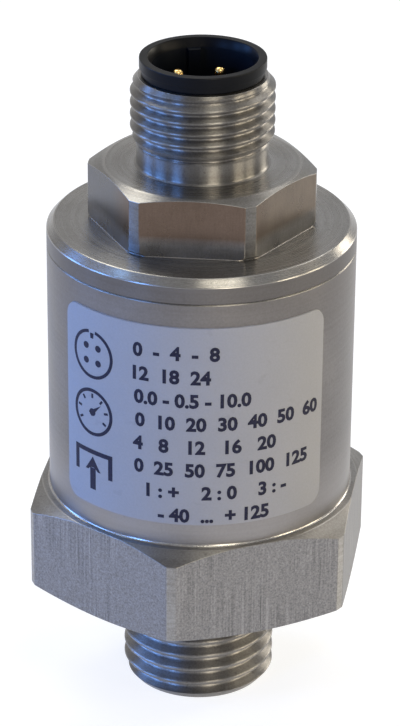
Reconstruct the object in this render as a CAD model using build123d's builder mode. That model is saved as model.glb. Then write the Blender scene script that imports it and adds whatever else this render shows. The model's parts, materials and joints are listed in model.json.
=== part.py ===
from build123d import *

import os
from math import cos, radians, sin, sqrt

os.makedirs("parts", exist_ok=True)

# Compact pressure transmitter: a turned steel body with a G 1/4 pipe stub and a 27 mm
# hexagon, a screwed cap with a 17 mm hexagon and an M12 plug, and the measuring parts
# sealed inside. The origin is the centre of the stub's end face, +Z runs up the axis to
# the plug, and two corners of the large hexagon lie on the Y axis.
# All lengths are millimetres, and angles are degrees counted from +X towards +Y.
# Threads are plain cylinders at their major diameter.

# Pipe stub
stub_r = 6.5785
stub_length = 10.65
stub_end_chamfer = 0.7
stub_end_chamfer_height = 0.85
relief_width = 1.5
relief_depth = 1.1
inlet_r = 2.5
inlet_chamfer = 0.4

# Large hexagon
hex_af = 27.0
hex_height = 8.45
hex_turn = 30.0
hex_corner_relief = 0.24
hex_top_land_step = 0.15
hex_top_drop = 0.84
hex_bottom_land_step = 0.08
hex_bottom_rise = 0.59

# Barrel, inside the hexagon's flats by one step
barrel_step = 0.5
barrel_height = 22.05
barrel_wall = 1.5
root_fillet = 0.42
seam_chamfer = 0.12
mouth_chamfer = 0.5

# Measuring cell in its pocket
pocket_depth = 2.75
cell_step = 2.5
cell_height = 6.35
cell_clearance = 0.15
cell_notch_r = 0.8
cell_groove_inset = 2.1
cell_groove_width = 2.0
cell_groove_depth = 1.5
chamber_lip = 0.9
chamber_depth = 0.8
backing_ring_height = 1.2
backing_ring_width = 2.0
clamp_step = 0.9
clamp_height = 3.5
clamp_wall = 3.5
clamp_slot_width = 1.6
clamp_slot_depth = 1.2
clamp_chamfer = 0.3
thread_clearance = 0.05
thread_relief = 0.3

# Seals, drawn squeezed in their grooves
seal_gap = 0.01
seal_side_gap = 0.05
seal_corner_share = 0.25

# Screwed cap
cap_side_height = 1.5
cap_chamfer = 0.61
cap_plate = 2.35
spigot_length = 5.95
spigot_wall = 1.8
spigot_chamfer = 0.4
cap_groove_width = 1.5
cap_groove_depth = 1.0
cap_groove_offset = 0.5
small_hex_af = 17.0
small_hex_height = 5.1
small_hex_turn = 3.33
small_hex_corner_relief = 0.285
small_hex_land_step = 0.3
small_hex_drop = 0.45
small_hex_base_bevel = 0.22
small_hex_roof = 3.36

# Plug stub of the cap
plug_r = 6.0
plug_length = 6.09
plug_wall = 1.12
plug_end_chamfer = 0.64
plug_end_chamfer_height = 0.8
neck_step = 0.53
neck_height = 1.75
neck_foot_bevel = 0.15

# Contact carrier in the plug
insert_clearance = 0.03
insert_stand_out = 1.38
collar_step = 0.75
collar_height = 0.86
band_step = 0.1
rim_width = 0.67
socket_wall = 0.65
socket_lead_in = 0.73
socket_depth = 9.0
key_angle = 109.85
key_width = 1.0
key_reach = 0.6
insert_tail_step = 0.45
insert_tail_length = 1.6
insert_groove_width = 1.0
insert_groove_depth = 0.6
insert_groove_offset = 0.6
insert_nut_wall = 1.85
insert_nut_clearance = 0.7
insert_nut_slot_width = 1.2
insert_nut_slot_depth = 0.7

# Contact pins
contact_count = 4
contact_r = 0.5
contact_pitch_r = 2.5
contact_tip_depth = 1.9
contact_tip_bevel = 0.25
contact_flange_r = 0.75
contact_flange_height = 0.5
contact_tail_r = 0.35
contact_tail_length = 1.6
contact_clearance = 0.01

# Circuit boards and their carrier
board_thickness = 1.0
board_slot_engagement = 0.9
wire_room = 3.0
round_board_clearance = 1.2
solder_clearance = 0.05
carrier_base_height = 1.2
carrier_edge_clearance = 0.2
carrier_base_width = 3.7
carrier_pillar_width = 3.6
carrier_pillar_inset = 0.3
carrier_slot_clearance = 0.08

# Leads
lead_r = 0.25
lead_gap = 0.01
cell_lead_count = 4
cell_lead_pitch = 2.54
cell_lead_overlap = 1.4
link_lead_count = 4
link_lead_pitch = 1.2
link_lead_edge = 1.0
link_lead_overlap = 1.4
link_lead_stub = 0.25

# Components on the main board
part_clearance = 0.3
chip_height = 1.4
chip_stand_off = 0.15
leg_thickness = 0.2
leg_reach = 1.0
signal_chip_length = 5.0
signal_chip_width = 4.4
signal_leg_count = 7
signal_leg_pitch = 0.65
signal_leg_width = 0.3
regulator_length = 4.9
regulator_width = 3.9
regulator_leg_count = 4
regulator_leg_pitch = 1.27
regulator_leg_width = 0.42
capacitor_size = (2.0, 3.2, 1.6)
diode_size = (2.4, 4.3, 2.1)
block_edge_break = 0.15

# Rating label
label_angle = -84.75
label_span = 107.5
label_foot_margin = 2.02
label_head_margin = 2.0
label_thickness = 0.1
label_corner_r = 1.4
label_gap = 0.01

# Levels along the axis, from the stub's end face upwards
hex_bottom_z = stub_length
hex_top_z = hex_bottom_z + hex_height
seam_z = hex_top_z + barrel_height
cap_top_z = seam_z + cap_side_height + cap_chamfer
land_z = cap_top_z + small_hex_height
neck_top_z = land_z + neck_height
plug_top_z = neck_top_z + plug_length
rim_z = plug_top_z + insert_stand_out

seat_z = hex_bottom_z + pocket_depth
chamber_floor_z = seat_z - chamber_depth
cell_top_z = seat_z + cell_height
backing_top_z = cell_top_z + backing_ring_height
clamp_top_z = backing_top_z + clamp_height
carrier_top_z = clamp_top_z + carrier_base_height
spigot_bottom_z = seam_z - spigot_length
ceiling_z = cap_top_z - cap_plate
shelf_z = land_z - small_hex_roof
insert_rear_z = shelf_z - insert_tail_length
round_board_top_z = insert_rear_z - contact_flange_height
round_board_bottom_z = round_board_top_z - board_thickness
board_top_z = round_board_bottom_z - wire_room
board_height = board_top_z - carrier_top_z
socket_floor_z = rim_z - socket_depth

# Radii from the large hexagon inwards
hex_turned_r = hex_af / sqrt(3) - hex_corner_relief
barrel_r = hex_af / 2 - barrel_step
cup_bore_r = barrel_r - barrel_wall
cell_r = cup_bore_r - cell_step
cell_pocket_r = cell_r + cell_clearance
cell_groove_r = cell_r - cell_groove_inset
chamber_r = cell_groove_r - cell_groove_width / 2 - chamber_lip
clamp_thread_r = cell_pocket_r + clamp_step
clamp_r = clamp_thread_r - thread_clearance
carrier_r = cup_bore_r - carrier_edge_clearance
pillar_inner_x = carrier_r - carrier_base_width
pillar_outer_x = carrier_r - carrier_pillar_inset
board_width = 2 * (pillar_inner_x + board_slot_engagement)
spigot_r = cup_bore_r - thread_clearance
spigot_bore_r = spigot_r - spigot_wall

# Radii from the plug inwards, and of what hangs under it in the small hexagon's chamber
small_hex_turned_r = small_hex_af / sqrt(3) - small_hex_corner_relief
neck_r = plug_r - neck_step
plug_bore_r = plug_r - plug_wall
insert_barrel_r = plug_bore_r - insert_clearance
insert_groove_r = insert_barrel_r - insert_groove_depth
insert_tail_r = insert_barrel_r - insert_tail_step
collar_r = plug_r - collar_step
band_r = collar_r - band_step
socket_mouth_r = collar_r - rim_width
socket_r = insert_barrel_r - socket_wall
insert_nut_bore_r = insert_tail_r + thread_clearance
insert_nut_r = insert_nut_bore_r + insert_nut_wall
small_hex_bore_r = insert_nut_r + insert_nut_clearance
round_board_r = small_hex_bore_r - round_board_clearance

# Process body: one bar, turned, bored and left hexagonal in the middle
with BuildPart() as process_body:
    with BuildSketch(Plane.XY.offset(hex_bottom_z)):
        RegularPolygon(radius=hex_af / 2, side_count=6, major_radius=False, rotation=hex_turn)
    extrude(amount=hex_height)
    # The lathe takes off the sharp corners and chamfers both faces of the hexagon
    with BuildSketch(Plane.XZ):
        with BuildLine():
            Polyline(
                (0, hex_bottom_z),
                (hex_af / 2 - hex_bottom_land_step, hex_bottom_z),
                (hex_turned_r, hex_bottom_z + hex_bottom_rise),
                (hex_turned_r, hex_top_z - hex_top_drop),
                (hex_af / 2 + hex_top_land_step, hex_top_z),
                (0, hex_top_z),
                close=True,
            )
        make_face()
    revolve(axis=Axis.Z, mode=Mode.INTERSECT)
    # Pipe stub with a chamfered end and a thread relief under the hexagon
    with BuildSketch(Plane.XZ):
        with BuildLine():
            Polyline(
                (0, 0),
                (stub_r - stub_end_chamfer, 0),
                (stub_r, stub_end_chamfer_height),
                (stub_r, hex_bottom_z - relief_width - relief_depth),
                (stub_r - relief_depth, hex_bottom_z - relief_width),
                (stub_r - relief_depth, hex_bottom_z),
                (0, hex_bottom_z),
                close=True,
            )
        make_face()
    revolve(axis=Axis.Z)
    # Barrel, with a fillet where it meets the hexagon
    with BuildSketch(Plane.XY.offset(hex_top_z)):
        Circle(barrel_r)
    extrude(amount=barrel_height)
    barrel_rings = process_body.edges().filter_by(GeomType.CIRCLE)
    barrel_foot = barrel_rings.filter_by_position(Axis.Z, hex_top_z, hex_top_z)
    fillet(barrel_foot.sort_by(SortBy.RADIUS)[0], radius=root_fillet)
    barrel_mouth = process_body.edges().filter_by_position(Axis.Z, seam_z, seam_z)
    chamfer(barrel_mouth, length=seam_chamfer)
    # Inlet, pressure chamber, cell pocket, clamp thread and cup, bored along the axis
    with BuildSketch(Plane.XZ):
        with BuildLine():
            Polyline(
                (0, 0),
                (inlet_r + inlet_chamfer, 0),
                (inlet_r, inlet_chamfer),
                (inlet_r, chamber_floor_z),
                (chamber_r, chamber_floor_z),
                (chamber_r, seat_z),
                (cell_pocket_r, seat_z),
                (cell_pocket_r, backing_top_z - thread_relief),
                (clamp_thread_r, backing_top_z - thread_relief),
                (clamp_thread_r, clamp_top_z),
                (cup_bore_r, clamp_top_z),
                (cup_bore_r, seam_z - mouth_chamfer),
                (cup_bore_r + mouth_chamfer, seam_z),
                (0, seam_z),
                close=True,
            )
        make_face()
    revolve(axis=Axis.Z, mode=Mode.SUBTRACT)
    # Groove for the cell's seal
    with BuildSketch(Plane.XZ):
        with Locations((cell_groove_r, seat_z - cell_groove_depth / 2)):
            Rectangle(cell_groove_width, cell_groove_depth)
    revolve(axis=Axis.Z, mode=Mode.SUBTRACT)
process_body.part.label = "process_body"
export_step(process_body.part, "parts/process_body.step")


def seal_ring(mean_r, mid_z, width, height):
    """Ring seal squeezed flat on all sides, with the corners of its section taken off."""
    with BuildPart() as seal:
        with BuildSketch(Plane.XZ) as section:
            with Locations((mean_r, mid_z)):
                Rectangle(width, height)
            chamfer(section.vertices(), length=seal_corner_share * min(width, height))
        revolve(axis=Axis.Z)
    return seal


# Seal under the cell, squeezed to the depth of its groove
cell_seal = seal_ring(
    cell_groove_r,
    seat_z - cell_groove_depth / 2,
    cell_groove_width - 2 * seal_side_gap,
    cell_groove_depth,
)
cell_seal.part.label = "cell_seal"
export_step(cell_seal.part, "parts/cell_seal.step")

# Ceramic measuring cell, with a locating notch in its rim
with BuildPart() as ceramic_cell:
    with BuildSketch(Plane.XY.offset(seat_z)):
        Circle(cell_r)
        with Locations((0, cell_r)):
            Circle(cell_notch_r, mode=Mode.SUBTRACT)
    extrude(amount=cell_height)
ceramic_cell.part.label = "ceramic_cell"
export_step(ceramic_cell.part, "parts/ceramic_cell.step")

# Backing ring that spreads the clamp's force over the cell's edge
with BuildPart() as backing_ring:
    with BuildSketch(Plane.XY.offset(cell_top_z)):
        Circle(cell_r)
        Circle(cell_r - backing_ring_width, mode=Mode.SUBTRACT)
    extrude(amount=backing_ring_height)
backing_ring.part.label = "backing_ring"
export_step(backing_ring.part, "parts/backing_ring.step")

# Screwed clamp ring with two spanner slots
with BuildPart() as clamp_ring:
    with BuildSketch(Plane.XY.offset(backing_top_z)):
        Circle(clamp_r)
        Circle(clamp_r - clamp_wall, mode=Mode.SUBTRACT)
    extrude(amount=clamp_height)
    clamp_rings = clamp_ring.edges().filter_by(GeomType.CIRCLE).sort_by(SortBy.RADIUS)
    chamfer(clamp_rings[-2:], length=clamp_chamfer)
    with BuildSketch(Plane.XY.offset(clamp_top_z)):
        Rectangle(2 * barrel_r, clamp_slot_width)
    extrude(amount=-clamp_slot_depth, mode=Mode.SUBTRACT)
clamp_ring.part.label = "clamp_ring"
export_step(clamp_ring.part, "parts/clamp_ring.step")

# Moulded carrier: a base ring on the clamp ring and two slotted pillars under the spigot
with BuildPart() as board_carrier:
    with BuildSketch(Plane.XY.offset(clamp_top_z)):
        Circle(carrier_r)
        Circle(pillar_inner_x, mode=Mode.SUBTRACT)
    extrude(amount=carrier_base_height)
    with BuildSketch(Plane.XY.offset(carrier_top_z)):
        with GridLocations(pillar_inner_x + pillar_outer_x, 1, 2, 1):
            Rectangle(pillar_outer_x - pillar_inner_x, carrier_pillar_width)
    extrude(amount=spigot_bottom_z - carrier_top_z)
    with BuildSketch(Plane.XY.offset(carrier_top_z)):
        Rectangle(
            board_width + 2 * carrier_slot_clearance,
            board_thickness + 2 * carrier_slot_clearance,
        )
    extrude(amount=spigot_bottom_z - carrier_top_z, mode=Mode.SUBTRACT)
board_carrier.part.label = "board_carrier"
export_step(board_carrier.part, "parts/board_carrier.step")

# Main circuit board, upright across the axis
board_mid_z = (carrier_top_z + board_top_z) / 2
with BuildPart() as main_board:
    with BuildSketch(Plane.XZ.offset(-board_thickness / 2)):
        with Locations((0, board_mid_z)):
            Rectangle(board_width, board_height)
    extrude(amount=board_thickness)
main_board.part.label = "main_board"
export_step(main_board.part, "parts/main_board.step")


def board_face(side):
    """Plane on one face of the main board, looking out: side is -1 for -Y, 1 for +Y."""
    return Plane(
        origin=(0, side * board_thickness / 2, board_mid_z),
        x_dir=(-side, 0, 0),
        z_dir=(0, side, 0),
    )


def leaded_chip(side, length, width, leg_count, leg_pitch, leg_width):
    """Moulded chip with a row of bent legs down each long side."""
    face = board_face(side)
    with BuildPart() as chip:
        with BuildSketch(face.offset(chip_stand_off)):
            Rectangle(length, width)
        extrude(amount=chip_height)
        # Each leg leaves the side at mid height and steps down to its foot on the board
        leg_rise = chip_stand_off + chip_height / 2
        leg_root = width / 2 - leg_thickness
        foot_inner = width / 2 + leg_reach / 2
        foot_outer = width / 2 + leg_reach
        for end in (-1, 1):
            for leg in range(leg_count):
                along = (leg - (leg_count - 1) / 2) * leg_pitch
                leg_plane = Plane(
                    origin=face.from_local_coords((along - leg_width / 2, 0, 0)),
                    x_dir=face.y_dir * end,
                    z_dir=face.x_dir * end,
                )
                with BuildSketch(leg_plane):
                    with BuildLine():
                        Polyline(
                            (leg_root, leg_rise),
                            (foot_inner, leg_rise),
                            (foot_inner, leg_thickness),
                            (foot_outer, leg_thickness),
                            (foot_outer, 0),
                            (foot_inner - leg_thickness, 0),
                            (foot_inner - leg_thickness, leg_rise - leg_thickness),
                            (leg_root, leg_rise - leg_thickness),
                            close=True,
                        )
                    make_face()
                extrude(amount=end * leg_width)
    return chip


# Signal chip on the front of the board
signal_chip = leaded_chip(
    -1,
    signal_chip_length,
    signal_chip_width,
    signal_leg_count,
    signal_leg_pitch,
    signal_leg_width,
)
signal_chip.part.label = "signal_chip"
export_step(signal_chip.part, "parts/signal_chip.step")

# Regulator chip on the back of the board
regulator_chip = leaded_chip(
    1,
    regulator_length,
    regulator_width,
    regulator_leg_count,
    regulator_leg_pitch,
    regulator_leg_width,
)
regulator_chip.part.label = "regulator_chip"
export_step(regulator_chip.part, "parts/regulator_chip.step")


def moulded_block(side, end, size):
    """Small block part flat on the board, beside the carrier's pillar at one end of it."""
    width, height, thickness = size
    x = end * (pillar_inner_x - part_clearance - width / 2)
    with BuildPart() as block:
        with BuildSketch(board_face(side)):
            with Locations((x, 0)):
                Rectangle(width, height)
        extrude(amount=thickness)
        chamfer(block.edges().filter_by(Axis.Y), length=block_edge_break)
    return block


# Filter capacitors beside the signal chip, surge diodes beside the regulator
for node, side, size in (
    ("filter_capacitor", -1, capacitor_size),
    ("surge_diode", 1, diode_size),
):
    for number, end in ((1, -1), (2, 1)):
        block = moulded_block(side, end, size)
        block.part.label = f"{node}_{number}"
        export_step(block.part, f"parts/{node}_{number}.step")

# Leads lie along the front face of the main board, soldered to it
lead_y = -(board_thickness / 2 + lead_r + lead_gap)


def straight_lead(x, bottom_z, top_z):
    """Round wire along Z in front of the main board."""
    with BuildPart() as lead:
        with BuildSketch(Plane.XY.offset(bottom_z)):
            with Locations((x, lead_y)):
                Circle(lead_r)
        extrude(amount=top_z - bottom_z)
    return lead


# From the cell's pads up to the foot of the main board
for index in range(cell_lead_count):
    node = f"cell_lead_{index + 1}"
    x = (index - (cell_lead_count - 1) / 2) * cell_lead_pitch
    lead = straight_lead(x, cell_top_z, carrier_top_z + cell_lead_overlap)
    lead.part.label = node
    export_step(lead.part, f"parts/{node}.step")

# From the head of the main board up through the edge of the round board
link_lead_start_x = link_lead_edge - round_board_r
link_lead_xs = [link_lead_start_x + index * link_lead_pitch for index in range(link_lead_count)]
for index, x in enumerate(link_lead_xs):
    node = f"link_lead_{index + 1}"
    lead = straight_lead(x, board_top_z - link_lead_overlap, round_board_top_z + link_lead_stub)
    lead.part.label = node
    export_step(lead.part, f"parts/{node}.step")

# Round board under the plug, drilled for the contact tails and the link leads
with BuildPart() as round_board:
    with BuildSketch(Plane.XY.offset(round_board_bottom_z)):
        Circle(round_board_r)
        with PolarLocations(contact_pitch_r, contact_count, start_angle=key_angle + 45):
            Circle(contact_tail_r + solder_clearance, mode=Mode.SUBTRACT)
        with Locations([(x, lead_y) for x in link_lead_xs]):
            Circle(lead_r + solder_clearance, mode=Mode.SUBTRACT)
    extrude(amount=board_thickness)
round_board.part.label = "round_board"
export_step(round_board.part, "parts/round_board.step")

# Connector cap: shoulder, small hexagon and plug stub above, threaded spigot below
cap_groove_mid_z = seam_z - cap_groove_offset - cap_groove_width / 2
with BuildPart() as connector_cap:
    with BuildSketch(Plane.XY.offset(cap_top_z)):
        RegularPolygon(
            radius=small_hex_af / 2,
            side_count=6,
            major_radius=False,
            rotation=small_hex_turn,
        )
    extrude(amount=small_hex_height)
    # The lathe takes off the small hexagon's corners, top and foot
    with BuildSketch(Plane.XZ):
        with BuildLine():
            Polyline(
                (0, cap_top_z),
                (small_hex_turned_r - small_hex_base_bevel, cap_top_z),
                (small_hex_turned_r, cap_top_z + small_hex_base_bevel),
                (small_hex_turned_r, land_z - small_hex_drop),
                (small_hex_af / 2 - small_hex_land_step, land_z),
                (0, land_z),
                close=True,
            )
        make_face()
    revolve(axis=Axis.Z, mode=Mode.INTERSECT)
    # Shoulder with a broad chamfer and a fine edge break at the seam, and the spigot
    with BuildSketch(Plane.XZ):
        with BuildLine():
            Polyline(
                (0, spigot_bottom_z),
                (spigot_r - spigot_chamfer, spigot_bottom_z),
                (spigot_r, spigot_bottom_z + spigot_chamfer),
                (spigot_r, cap_groove_mid_z - cap_groove_width / 2),
                (spigot_r - cap_groove_depth, cap_groove_mid_z - cap_groove_width / 2),
                (spigot_r - cap_groove_depth, cap_groove_mid_z + cap_groove_width / 2),
                (spigot_r, cap_groove_mid_z + cap_groove_width / 2),
                (spigot_r, seam_z),
                (barrel_r - seam_chamfer, seam_z),
                (barrel_r, seam_z + seam_chamfer),
                (barrel_r, cap_top_z - cap_chamfer),
                (barrel_r - cap_chamfer, cap_top_z),
                (0, cap_top_z),
                close=True,
            )
        make_face()
    revolve(axis=Axis.Z)
    # Neck, then the threaded stub with a long chamfer at its mouth
    with BuildSketch(Plane.XZ):
        with BuildLine():
            Polyline(
                (0, land_z),
                (neck_r + neck_foot_bevel, land_z),
                (neck_r, land_z + neck_foot_bevel),
                (neck_r, neck_top_z),
                (plug_r, neck_top_z + plug_r - neck_r),
                (plug_r, plug_top_z - plug_end_chamfer_height),
                (plug_r - plug_end_chamfer, plug_top_z),
                (0, plug_top_z),
                close=True,
            )
        make_face()
    revolve(axis=Axis.Z)
    # Stepped bore for the round board, the nut and the contact carrier
    with BuildSketch(Plane.XZ):
        with BuildLine():
            Polyline(
                (0, spigot_bottom_z),
                (spigot_bore_r, spigot_bottom_z),
                (spigot_bore_r, ceiling_z),
                (small_hex_bore_r, ceiling_z),
                (small_hex_bore_r, shelf_z),
                (plug_bore_r, shelf_z),
                (plug_bore_r, plug_top_z),
                (0, plug_top_z),
                close=True,
            )
        make_face()
    revolve(axis=Axis.Z, mode=Mode.SUBTRACT)
connector_cap.part.label = "connector_cap"
export_step(connector_cap.part, "parts/connector_cap.step")

# Seal between the cap's spigot and the cup
cap_seal = seal_ring(
    (spigot_r - cap_groove_depth + cup_bore_r) / 2,
    cap_groove_mid_z,
    cap_groove_depth + thread_clearance - 2 * seal_gap,
    cap_groove_width - 2 * seal_side_gap,
)
cap_seal.part.label = "cap_seal"
export_step(cap_seal.part, "parts/cap_seal.step")

# Contact carrier: keyed socket above, solid base with four contact holes, screwed tail
insert_groove_bottom_z = shelf_z + insert_groove_offset
insert_groove_top_z = insert_groove_bottom_z + insert_groove_width
with BuildPart() as connector_insert:
    with BuildSketch(Plane.XZ):
        with BuildLine():
            Polyline(
                (0, insert_rear_z),
                (insert_tail_r, insert_rear_z),
                (insert_tail_r, shelf_z),
                (insert_barrel_r, shelf_z),
                (insert_barrel_r, insert_groove_bottom_z),
                (insert_groove_r, insert_groove_bottom_z),
                (insert_groove_r, insert_groove_top_z),
                (insert_barrel_r, insert_groove_top_z),
                (insert_barrel_r, plug_top_z),
                (band_r, plug_top_z),
                (band_r, rim_z - collar_height),
                (collar_r, rim_z - collar_height),
                (collar_r, rim_z),
                (socket_mouth_r, rim_z),
                (socket_r, rim_z - socket_lead_in),
                (socket_r, socket_floor_z),
                (0, socket_floor_z),
                close=True,
            )
        make_face()
    revolve(axis=Axis.Z)
    # Coding rib down the socket wall, rooted half way into the wall
    rib_inner_r = socket_r - key_reach
    rib_outer_r = (socket_r + insert_barrel_r) / 2
    with BuildSketch(Plane.XY.offset(socket_floor_z)):
        with PolarLocations((rib_inner_r + rib_outer_r) / 2, 1, start_angle=key_angle):
            Rectangle(rib_outer_r - rib_inner_r, key_width)
    extrude(amount=rim_z - socket_lead_in - socket_floor_z)
    # Holes for the contacts, half way between the rib and its opposite
    with BuildSketch(Plane.XY.offset(insert_rear_z)):
        with PolarLocations(contact_pitch_r, contact_count, start_angle=key_angle + 45):
            Circle(contact_r + contact_clearance)
    extrude(amount=socket_floor_z - insert_rear_z, mode=Mode.SUBTRACT)
connector_insert.part.label = "connector_insert"
export_step(connector_insert.part, "parts/connector_insert.step")

# Seal between the contact carrier and the plug's bore
insert_seal = seal_ring(
    (insert_groove_r + plug_bore_r) / 2,
    (insert_groove_bottom_z + insert_groove_top_z) / 2,
    plug_bore_r - insert_groove_r - 2 * seal_gap,
    insert_groove_width - 2 * seal_side_gap,
)
insert_seal.part.label = "insert_seal"
export_step(insert_seal.part, "parts/insert_seal.step")

# Round nut on the carrier's tail, drawn up against the shelf in the cap
with BuildPart() as insert_nut:
    with BuildSketch(Plane.XY.offset(insert_rear_z)):
        Circle(insert_nut_r)
        Circle(insert_nut_bore_r, mode=Mode.SUBTRACT)
    extrude(amount=insert_tail_length)
    with BuildSketch(Plane.XY.offset(insert_rear_z)):
        Rectangle(2 * barrel_r, insert_nut_slot_width)
    extrude(amount=insert_nut_slot_depth, mode=Mode.SUBTRACT)
insert_nut.part.label = "insert_nut"
export_step(insert_nut.part, "parts/insert_nut.step")

# Contact pins: soldered tail, flange against the carrier's base, round shank, bevelled tip
contact_tip_z = rim_z - contact_tip_depth
for index in range(contact_count):
    node = f"contact_pin_{index + 1}"
    contact_angle = radians(key_angle + 45 + index * 360 / contact_count)
    contact_x = contact_pitch_r * cos(contact_angle)
    contact_y = contact_pitch_r * sin(contact_angle)
    pin_plane = Plane(origin=(contact_x, contact_y, 0), x_dir=(1, 0, 0), z_dir=(0, -1, 0))
    with BuildPart() as contact_pin:
        with BuildSketch(pin_plane):
            with BuildLine():
                Polyline(
                    (0, round_board_top_z - contact_tail_length),
                    (contact_tail_r, round_board_top_z - contact_tail_length),
                    (contact_tail_r, round_board_top_z),
                    (contact_flange_r, round_board_top_z),
                    (contact_flange_r, insert_rear_z),
                    (contact_r, insert_rear_z),
                    (contact_r, contact_tip_z - contact_tip_bevel),
                    (contact_r - contact_tip_bevel, contact_tip_z),
                    (0, contact_tip_z),
                    close=True,
                )
            make_face()
        revolve(axis=Axis((contact_x, contact_y, 0), (0, 0, 1)))
    contact_pin.part.label = node
    export_step(contact_pin.part, f"parts/{node}.step")

# Rating label: a thin sheet round the barrel, with rounded corners
label_mid_r = barrel_r + label_gap + label_thickness / 2
label_bottom_z = hex_top_z + label_foot_margin
label_top_z = seam_z - label_head_margin
label_start = radians(label_angle - label_span / 2)
label_plane = Plane(
    origin=(0, 0, 0),
    x_dir=(cos(label_start), sin(label_start), 0),
    z_dir=(sin(label_start), -cos(label_start), 0),
)
with BuildPart() as rating_label:
    with BuildSketch(label_plane):
        with Locations((label_mid_r, (label_bottom_z + label_top_z) / 2)):
            Rectangle(label_thickness, label_top_z - label_bottom_z)
    revolve(axis=Axis.Z, revolution_arc=label_span)
    corner_edges = rating_label.edges().filter_by(GeomType.LINE).group_by(SortBy.LENGTH)[0]
    fillet(corner_edges, radius=label_corner_r)
rating_label.part.label = "rating_label"
export_step(rating_label.part, "parts/rating_label.step")
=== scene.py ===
"""Looks of a compact pressure transmitter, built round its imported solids.

One piece stands for each solid that shows: the turned body and cap with their cut threads, the
plug's contact carrier and pins, and the rating label with its print. The sealed solids inside
keep their meshes and get their own finishes.
"""

import json
import math

import bmesh
import bpy
import numpy as np
from mathutils import Matrix, Vector


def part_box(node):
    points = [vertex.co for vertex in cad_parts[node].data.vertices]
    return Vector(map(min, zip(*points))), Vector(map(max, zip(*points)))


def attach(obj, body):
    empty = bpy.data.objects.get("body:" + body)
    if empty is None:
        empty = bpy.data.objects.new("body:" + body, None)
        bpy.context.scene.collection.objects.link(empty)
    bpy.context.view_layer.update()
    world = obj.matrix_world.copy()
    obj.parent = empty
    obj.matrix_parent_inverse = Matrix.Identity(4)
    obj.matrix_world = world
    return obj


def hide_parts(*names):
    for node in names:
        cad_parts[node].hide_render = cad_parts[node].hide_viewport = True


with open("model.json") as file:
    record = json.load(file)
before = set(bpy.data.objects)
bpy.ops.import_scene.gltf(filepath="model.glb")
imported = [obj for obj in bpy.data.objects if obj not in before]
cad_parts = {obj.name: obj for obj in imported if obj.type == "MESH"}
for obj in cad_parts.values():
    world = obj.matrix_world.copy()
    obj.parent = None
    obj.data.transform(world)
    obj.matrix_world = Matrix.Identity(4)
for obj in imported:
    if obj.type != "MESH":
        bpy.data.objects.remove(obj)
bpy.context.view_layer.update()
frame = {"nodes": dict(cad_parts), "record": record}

bl_info = {
    "name": "Pressure Transmitter",
    "version": (1, 0, 0),
    "blender": (4, 5, 0),
    "location": "View3D > Sidebar > Transmitter",
    "description": "Turned steel pressure transmitter with a round keyed plug",
    "category": "Object",
}

MM = 0.001

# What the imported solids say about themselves, in millimetres
BODY_LOW, BODY_HIGH = (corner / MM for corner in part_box("process_body"))
CAP_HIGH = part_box("connector_cap")[1] / MM
CARRIER_LOW, CARRIER_HIGH = (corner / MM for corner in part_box("connector_insert"))
LABEL_LOW, LABEL_HIGH = (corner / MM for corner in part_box("rating_label"))
HEX_AF = BODY_HIGH.x - BODY_LOW.x
HEX_TURNED_R = BODY_HIGH.y
SEAM_Z = BODY_HIGH.z
BARREL_R = CAP_HIGH.x
PLUG_TOP_Z = CAP_HIGH.z
COLLAR_R = CARRIER_HIGH.x
RIM_Z = CARRIER_HIGH.z

# Finishes of a piece's faces, in the order of its material slots
TURNED, DRAWN, MATT, CHAMFERED, FILLET_PAINTED_HIGHLIGHT, BODY_STRIP = range(6)
POLISHED, MILLED, CAP_MATT, STRIP, BEVEL = range(1, 6)
SOCKET_SHADE = 1

# Heights in metres between which painted shade fades in near the barrel's top, and painted light near its
# foot
BARREL_TOP_PAINTED_SHADE = (0.034, 0.041)
BARREL_FOOT_PAINTED_LIGHT = (0.026, 0.0205)
# Painted reflections on the small hexagon's flats: axis, where it starts and is full in metres, dark, light
MILLED_PAINTED_REFLECTIONS = (
    ("X", 0.0048, 0.0066, (0.135, 0.110, 0.088), (0.195, 0.160, 0.128)),
    ("X", -0.0048, -0.0066, (0.078, 0.078, 0.084), (0.122, 0.122, 0.130)),
    ("Z", 0.0451, 0.0443, (0.165, 0.158, 0.153), (0.285, 0.275, 0.268)),
)
# A rounding takes at most this share of the faces beside it
REACH_SHARE = 0.28
# Share of a rounding's reach over which the faces beside it are held straight
HOLD = 0.7
# Edges bent more than this are shaded sharp
SHARP_ANGLE = math.radians(42)
# Distances at which two points of a skin are one, and below which a face has no area, in metres
WELD_GAP = 5e-7
FACE_GAP = 2e-7


# Sizes and colours a user would change


class TransmitterSizes(bpy.types.PropertyGroup):
    """Sizes of what the pieces add to the solids."""

    pipe_pitch: bpy.props.FloatProperty(
        name="Pipe thread pitch", description="Distance between the pipe thread's turns",
        default=1.337 * MM, unit="LENGTH", subtype="DISTANCE", precision=5,
    )
    pipe_depth: bpy.props.FloatProperty(
        name="Pipe thread depth", description="Depth of the pipe thread under its crests",
        default=0.80 * MM, unit="LENGTH", subtype="DISTANCE", precision=5,
    )
    plug_pitch: bpy.props.FloatProperty(
        name="Plug thread pitch", description="Distance between the plug thread's turns",
        default=1.0 * MM, unit="LENGTH", subtype="DISTANCE", precision=5,
    )
    plug_depth: bpy.props.FloatProperty(
        name="Plug thread depth", description="Depth of the plug thread under its crests",
        default=0.58 * MM, unit="LENGTH", subtype="DISTANCE", precision=5,
    )
    edge_break: bpy.props.FloatProperty(
        name="Edge break", description="How far a machined edge is blunted",
        default=0.06 * MM, unit="LENGTH", subtype="DISTANCE", precision=5,
    )
    print_thickness: bpy.props.FloatProperty(
        name="Print thickness", description="Thickness of the ink on the label",
        default=0.02 * MM, unit="LENGTH", subtype="DISTANCE", precision=5,
    )
    ring_columns: bpy.props.IntProperty(
        name="Columns", description="Even columns round a turned piece", default=240, min=48,
    )


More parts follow.
